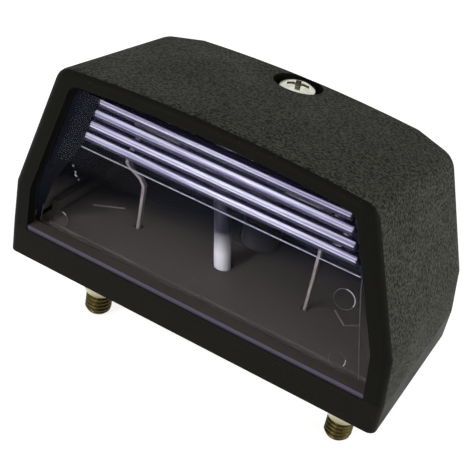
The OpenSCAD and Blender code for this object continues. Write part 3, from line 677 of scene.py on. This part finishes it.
# what shows through the lens, and what lies under the floor
# the pale peg darkens towards its top: painted shade under the hood
pegLook = {
    "colour": (0.80, 0.785, 0.75), "dark": (0.72, 0.71, 0.68), "light": (0.86, 0.85, 0.81),
    "rubColour": (0.7, 0.7, 0.68), "grainScale": 3000, "fleck": 0.3, "edgeWidth": 0.0002, "edgeAmount": 0.1,
    "dust": 0.1, "smoothest": 0.35, "roughest": 0.5, "shine": 0.45, "bump": 0.08, "bumpDepth": 0.00003,
    "shade": ((0, 0, 1), 11, 16.5, (0.020, 0.019, 0.030)),
}
palePeg = mouldedPlastic("palePeg", pegLook)
dressNode("floor_plate", "innerFloor", greyPlate, {"sharpAngle": 30, "bevel": 0.00015})
dressNode("bulb_peg", "leaningPeg", palePeg, {"sharpAngle": 40, "bevel": 0.0001})
# pale lines laid on the floor: painted light
floorLightLook = dict(plateLook, colour=(0.19, 0.172, 0.150), dark=(0.15, 0.135, 0.12), light=(0.24, 0.22, 0.19))
floorLightLook.pop("shade")
floorLightPale = mouldedPlastic("floorLightPale", floorLightLook)
floorLightShape = {
    "height": 7.32, "wire": 0.26,
    "lines": [[(-33.4, -4.7), (-27.7, -1.1)], [(23.2, -1.1), (26.6, -4.3), (28.9, -2.2)]],
}
for index, line in enumerate(floorLightShape["lines"]):
    points = [(x * mm, y * mm, floorLightShape["height"] * mm) for x, y in line]
    lightLine = wirePath(f"floorLightLine.{index + 1}", points, floorLightShape["wire"] * mm, floorLightPale, sides=6)
    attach(lightLine, "root")

contactLook = {
    "colour": (0.34, 0.29, 0.25), "dark": (0.25, 0.22, 0.19), "light": (0.46, 0.40, 0.34),
    "rubColour": (0.6, 0.54, 0.47), "grainScale": 2600, "fleck": 0.4, "edgeAmount": 0.4, "smoothest": 0.35,
    "roughest": 0.55, "metal": 0.35, "bump": 0.15,
}
zincLook = {
    "colour": (0.70, 0.70, 0.60), "dark": (0.46, 0.47, 0.38), "light": (0.88, 0.88, 0.78),
    "rubColour": (0.9, 0.9, 0.86), "grainScale": 900, "fleck": 0.45, "edgeAmount": 0.5, "smoothest": 0.20,
    "roughest": 0.38, "metal": 0.9, "bump": 0.12,
}
yellowZincLook = {
    "colour": (0.070, 0.055, 0.017), "dark": (0.028, 0.022, 0.007), "light": (0.115, 0.093, 0.032),
    "rubColour": (0.20, 0.17, 0.07), "grainScale": 1500, "fleck": 0.45, "edgeAmount": 0.5,
    "smoothest": 0.34, "roughest": 0.50, "metal": 1.0, "bump": 0.25,
}
creamZincLook = {
    "colour": (0.66, 0.61, 0.38), "dark": (0.54, 0.50, 0.29), "light": (0.80, 0.73, 0.52),
    "rubColour": (0.85, 0.8, 0.68), "grainScale": 1500, "fleck": 0.4, "edgeAmount": 0.4, "smoothest": 0.34,
    "roughest": 0.50, "metal": 0.45, "bump": 0.18,
}
brassLook = {
    "colour": (0.66, 0.50, 0.22), "dark": (0.50, 0.36, 0.15), "light": (0.78, 0.62, 0.32),
    "rubColour": (0.85, 0.72, 0.42), "grainScale": 1800, "fleck": 0.35, "edgeAmount": 0.4,
    "smoothest": 0.22, "roughest": 0.40, "metal": 1.0, "bump": 0.12,
}
nickelLook = {
    "colour": (0.26, 0.25, 0.23), "dark": (0.18, 0.175, 0.16), "light": (0.34, 0.33, 0.31),
    "rubColour": (0.5, 0.49, 0.46), "grainScale": 2200, "fleck": 0.3, "edgeAmount": 0.3, "smoothest": 0.48,
    "roughest": 0.62, "metal": 1.0, "bump": 0.08,
}
springStrip = platedMetal("springStrip", contactLook)
brightZinc = platedMetal("brightZinc", zincLook)
yellowZinc = platedMetal("yellowZinc", yellowZincLook)
creamZinc = platedMetal("creamZinc", creamZincLook)
turnedBrass = platedMetal("turnedBrass", brassLook)
nickelPlate = platedMetal("nickelPlate", nickelLook)

# node, piece, finish and bevel of what there is on both sides
sidePieces = (
    ("contact", "springContact", springStrip, 0.00012),
    ("terminal_screw", "wireScrew", turnedBrass, 0.00015),
    ("terminal_washer", "wireWasher", brightZinc, 0.0001),
    ("bulb_cap", "bulbCap", nickelPlate, 0.0002),
)
for side in ("left", "right"):
    for nodeName, pieceName, finish, bevel in sidePieces:
        dressNode(f"{nodeName}_{side}", f"{pieceName}.{side}", finish, {"sharpAngle": 30, "bevel": bevel})
recessLook = dict(zincLook, colour=(0.20, 0.20, 0.13), dark=(0.11, 0.11, 0.07), light=(0.34, 0.34, 0.24),
                  metal=0.6)
recessShade = platedMetal("recessShade", recessLook)
screwShape = {"sharpAngle": 30, "bevel": 0.00014, "segments": 3}
coverScrew = dressNode("cover_screw", "crossHeadScrew", brightZinc, screwShape)
coverScrew.data.materials.append(recessShade)
for polygon in inwardFaces(coverScrew):
    polygon.material_index = 1
dressNode("screw_insert", "brassInsert", turnedBrass, {"sharpAngle": 30, "bevel": 0.0001})

bulbLook = {
    "colour": (0.97, 0.98, 1.0), "passed": (0.92, 0.93, 0.95), "ior": 1.5, "grainScale": 2000, "dust": 0.1,
    "smoothest": 0.005, "roughest": 0.02, "bump": 0.01, "gleam": (0.6, 0.6, 0.6), "clearness": 1.0,
}
bulbClear = clearPlastic("bulbClear", bulbLook)
dressNode("bulb_glass", "bulbTube", bulbClear, {"sharpAngle": 50, "bevel": 0})

filamentLook = {"coilRadius": 0.75, "turns": 13, "stepsPerTurn": 12, "wire": 0.13, "coilLength": 12.0}
tungstenLook = {
    "colour": (0.32, 0.32, 0.33), "dark": (0.24, 0.24, 0.25), "light": (0.42, 0.42, 0.43),
    "rubColour": (0.5, 0.5, 0.5), "grainScale": 2600, "fleck": 0.3, "edgeAmount": 0.2, "smoothest": 0.35,
    "roughest": 0.5, "metal": 1.0, "bump": 0.1,
}
tungstenWire = platedMetal("tungstenWire", tungstenLook)
filamentLow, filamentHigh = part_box("bulb_filament")
filamentMid = (filamentLow + filamentHigh) / 2
coilPoints = [(filamentLow.x, filamentMid.y, filamentMid.z)]
steps = filamentLook["turns"] * filamentLook["stepsPerTurn"]
for step in range(steps + 1):
    angle = 2 * math.pi * filamentLook["turns"] * step / steps
    x = filamentMid.x + filamentLook["coilLength"] * mm * (step / steps - 0.5)
    r = filamentLook["coilRadius"] * mm * min(1, step / 6, (steps - step) / 6)
    coilPoints.append((x, filamentMid.y + r * math.cos(angle), filamentMid.z + r * math.sin(angle)))
coilPoints.append((filamentHigh.x, filamentMid.y, filamentMid.z))
filament = wirePath("coiledFilament", coilPoints, filamentLook["wire"] * mm, tungstenWire, sides=6)
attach(filament, "root")
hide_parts("bulb_filament")
print("inner pieces dressed")


# studs with their threads, and the coned nuts on them, in millimetres
# rows are height and largest radius: the flats cut a hexagon out of it
studLook = {
    "pitch": 1.0, "depth": 0.5, "radius": 2.99, "neckRadius": 3.19, "end": -21.5, "threadTop": -1.0,
    "chamfer": 0.9, "flats": 9.98, "segments": 48, "rowsPerTurn": 12, "slope": 0.8, "grooveHalf": 0.42,
    "grooveFloor": 1.15, "fadeOut": 1.2, "headSegments": 72,
    "headRows": ((2.5, 5.5), (2.7, 5.9), (5.9, 5.9), (6.3, 5.25), (6.5, 4.8)),
}
nutLook = {
    "bore": 3.02, "flats": 10.0, "turn": 0.3, "segments": 72,
    "coneRows": ((-16.1, 3.1), (-16.0, 3.2), (-12.7, 4.75)),
    "hexRows": ((-12.65, 4.9), (-12.1, 6), (-8.6, 6), (-8.05, 4.9), (-8.0, 4.8)),
}


def hexRadius(angle, flats):
    sector = math.radians(60)
    return flats / 2 / math.cos((angle + sector / 2) % sector - sector / 2)


def hexagonRows(rows, flats, turn=0.0):
    found = []
    for z, limit in rows:
        def radius(angle, limit=limit):
            return min(hexRadius(angle + turn, flats), limit) * mm

        found.append((z * mm, radius))
    return found


def threadedStud(side, x, y):
    rows = []
    end, top, pitch = studLook["end"], studLook["threadTop"], studLook["pitch"]
    count = int((top - end) / pitch * studLook["rowsPerTurn"])
    for step in range(count + 1):
        z = end + (top - end) * step / count
        limit = studLook["radius"] - max(0, studLook["chamfer"] - (z - end)) * studLook["slope"]
        fade = min(1, (top - z) / studLook["fadeOut"])

        def radius(angle, z=z, limit=limit, fade=fade):
            turn = (z / pitch - angle / (2 * math.pi)) % 1
            groove = max(0, 1 - abs(turn - 0.5) / studLook["grooveHalf"])
            cut = studLook["depth"] * fade * min(1, groove * studLook["grooveFloor"])
            return min(studLook["radius"] - cut, limit)

        rows.append((z, radius))
    rows.append((studLook["threadTop"] + 0.02, studLook["neckRadius"]))
    rows.append((studLook["headRows"][0][0], studLook["neckRadius"]))
    rows = [(z * mm, (lambda angle, f=r: (f(angle) if callable(f) else f) * mm)) for z, r in rows]
    stud = roundPiece(f"threadedStud.{side}", rows, studLook["segments"], yellowZinc, sharpAngle=50)
    stud.location = (x, y, 0)
    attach(stud, "root")
    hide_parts(f"stud_{side}")

    headRows = hexagonRows(studLook["headRows"], studLook["flats"])
    head = roundPiece(f"studHead.{side}", headRows, studLook["headSegments"], yellowZinc, sharpAngle=25)
    head.location = (x, y, 0)
    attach(head, "root")


def conedNut(side, x, y):
    rows = [(z * mm, radius * mm) for z, radius in nutLook["coneRows"]]
    rows += hexagonRows(nutLook["hexRows"], nutLook["flats"], nutLook["turn"])
    nut = roundPiece(f"conedNut.{side}", rows, nutLook["segments"], creamZinc, sharpAngle=22,
                     bore=nutLook["bore"] * mm)
    nut.location = (x, y, 0)
    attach(nut, "root")


for side in ("left", "right"):
    low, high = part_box(f"stud_{side}")
    centre = (low + high) / 2
    threadedStud(side, centre.x, centre.y)
    conedNut(side, centre.x, centre.y)
print("studs and nuts made")


# pale floor, soft light, white behind
stageLook = {
    "floorDrop": 0.0216, "floorColour": (0.93, 0.93, 0.93), "seenColour": (0.58, 0.58, 0.58),
    "seenGlow": 0.80, "worldLight": 0.28, "floorReach": 3.0,
}


def seenRays(tree):
    # camera, mirrored and passed rays all see the white background
    rays = addNode(tree, "ShaderNodeLightPath")
    seen = mathNode(tree, "MAXIMUM", rays.outputs["Is Camera Ray"], rays.outputs["Is Glossy Ray"])
    return mathNode(tree, "MAXIMUM", seen, rays.outputs["Is Transmission Ray"])


floorMesh = bpy.data.meshes.new("paleFloor")
reach = stageLook["floorReach"]
corners = [(-reach, -reach, 0), (reach, -reach, 0), (reach, reach, 0), (-reach, reach, 0)]
floorMesh.from_pydata(corners, [], [(0, 1, 2, 3)])
floorMaterial, floorTree, floorShader = newMaterial("paleFloor", stageLook["floorColour"])
floorSeen = seenRays(floorTree)
feed(floorTree, blendColour(floorTree, floorSeen, stageLook["floorColour"], stageLook["seenColour"]),
     floorShader.inputs["Base Color"])
feed(floorTree, blendColour(floorTree, floorSeen, (0, 0, 0), (stageLook["seenGlow"],) * 3),
     floorShader.inputs["Emission Color"])
floorShader.inputs["Emission Strength"].default_value = 1.0
floorShader.inputs["Roughness"].default_value = 0.9
floorShader.inputs["Specular IOR Level"].default_value = 0.1
floor = linkMesh("paleFloor", floorMesh, floorMaterial)
floor.location.z = -stageLook["floorDrop"]

world = bpy.data.worlds.new("softRoom")
scene.world = world
world.use_nodes = True
worldTree = world.node_tree
background = worldTree.nodes["Background"]
background.inputs["Strength"].default_value = stageLook["worldLight"]
background.inputs["Color"].default_value = (1, 1, 1, 1)
whiteBack = addNode(worldTree, "ShaderNodeBackground")
whiteBack.inputs["Color"].default_value = (1, 1, 1, 1)
whiteBack.inputs["Strength"].default_value = 1.0
worldJoin = addNode(worldTree, "ShaderNodeMixShader")
feed(worldTree, seenRays(worldTree), worldJoin.inputs[0])
feed(worldTree, background.outputs[0], worldJoin.inputs[1])
feed(worldTree, whiteBack.outputs[0], worldJoin.inputs[2])
feed(worldTree, worldJoin.outputs[0], worldTree.nodes["World Output"].inputs["Surface"])

# the front one is tall and narrow, where the ribs mirror it
lampLook = {
    "sideSoftbox": {"place": (0.70, 0.08, 0.16), "aim": (0, 0, 0.02), "size": (0.5, 0.4), "power": 2.85},
    "topSoftbox": {"place": (-0.10, 0.10, 0.80), "aim": (0, 0, 0.02), "size": (0.6, 0.6), "power": 0.2},
    "frontSoftbox": {"place": (-0.20, -0.55, 0.24), "aim": (0, 0, 0.03), "size": (0.15, 0.52), "power": 2.2},
}
for name, look in lampLook.items():
    data = bpy.data.lights.new(name, "AREA")
    data.shape = "RECTANGLE"
    data.size, data.size_y = look["size"]
    data.energy = look["power"]
    lamp = bpy.data.objects.new(name, data)
    scene.collection.objects.link(lamp)
    lamp.location = look["place"]
    lamp.rotation_mode = "QUATERNION"
    lamp.rotation_quaternion = (Vector(look["place"]) - Vector(look["aim"])).to_track_quat("Z", "Y")
print("stage set")


# camera at the photo's place
cameraLook = {
    "azimuth": 20.56, "elevation": 34.68, "roll": 13.52, "place": (0.0676, -0.1611, 0.1294),
    "lens": 79.2, "shiftX": -0.08, "shiftY": 0.0574,
}
azimuth, elevation, roll = (math.radians(cameraLook[k]) for k in ("azimuth", "elevation", "roll"))
levelPart = math.cos(elevation)
back = Vector((math.sin(azimuth) * levelPart, -math.cos(azimuth) * levelPart, math.sin(elevation)))
right = Vector((math.cos(azimuth), math.sin(azimuth), 0))
up = back.cross(right)
tiltedRight = math.cos(roll) * right + math.sin(roll) * up
tiltedUp = -math.sin(roll) * right + math.cos(roll) * up
cameraData = bpy.data.cameras.new("photoCamera")
cameraData.sensor_width = 36
cameraData.lens = cameraLook["lens"]
cameraData.shift_x = cameraLook["shiftX"]
cameraData.shift_y = cameraLook["shiftY"]
cameraData.clip_start = 0.01
cameraData.clip_end = 20
camera = bpy.data.objects.new("photoCamera", cameraData)
scene.collection.objects.link(camera)
turn = Matrix((tiltedRight, tiltedUp, back)).transposed().to_4x4()
camera.matrix_world = Matrix.Translation(cameraLook["place"]) @ turn
scene.camera = camera
scene.view_settings.view_transform = "Standard"
print("camera set")
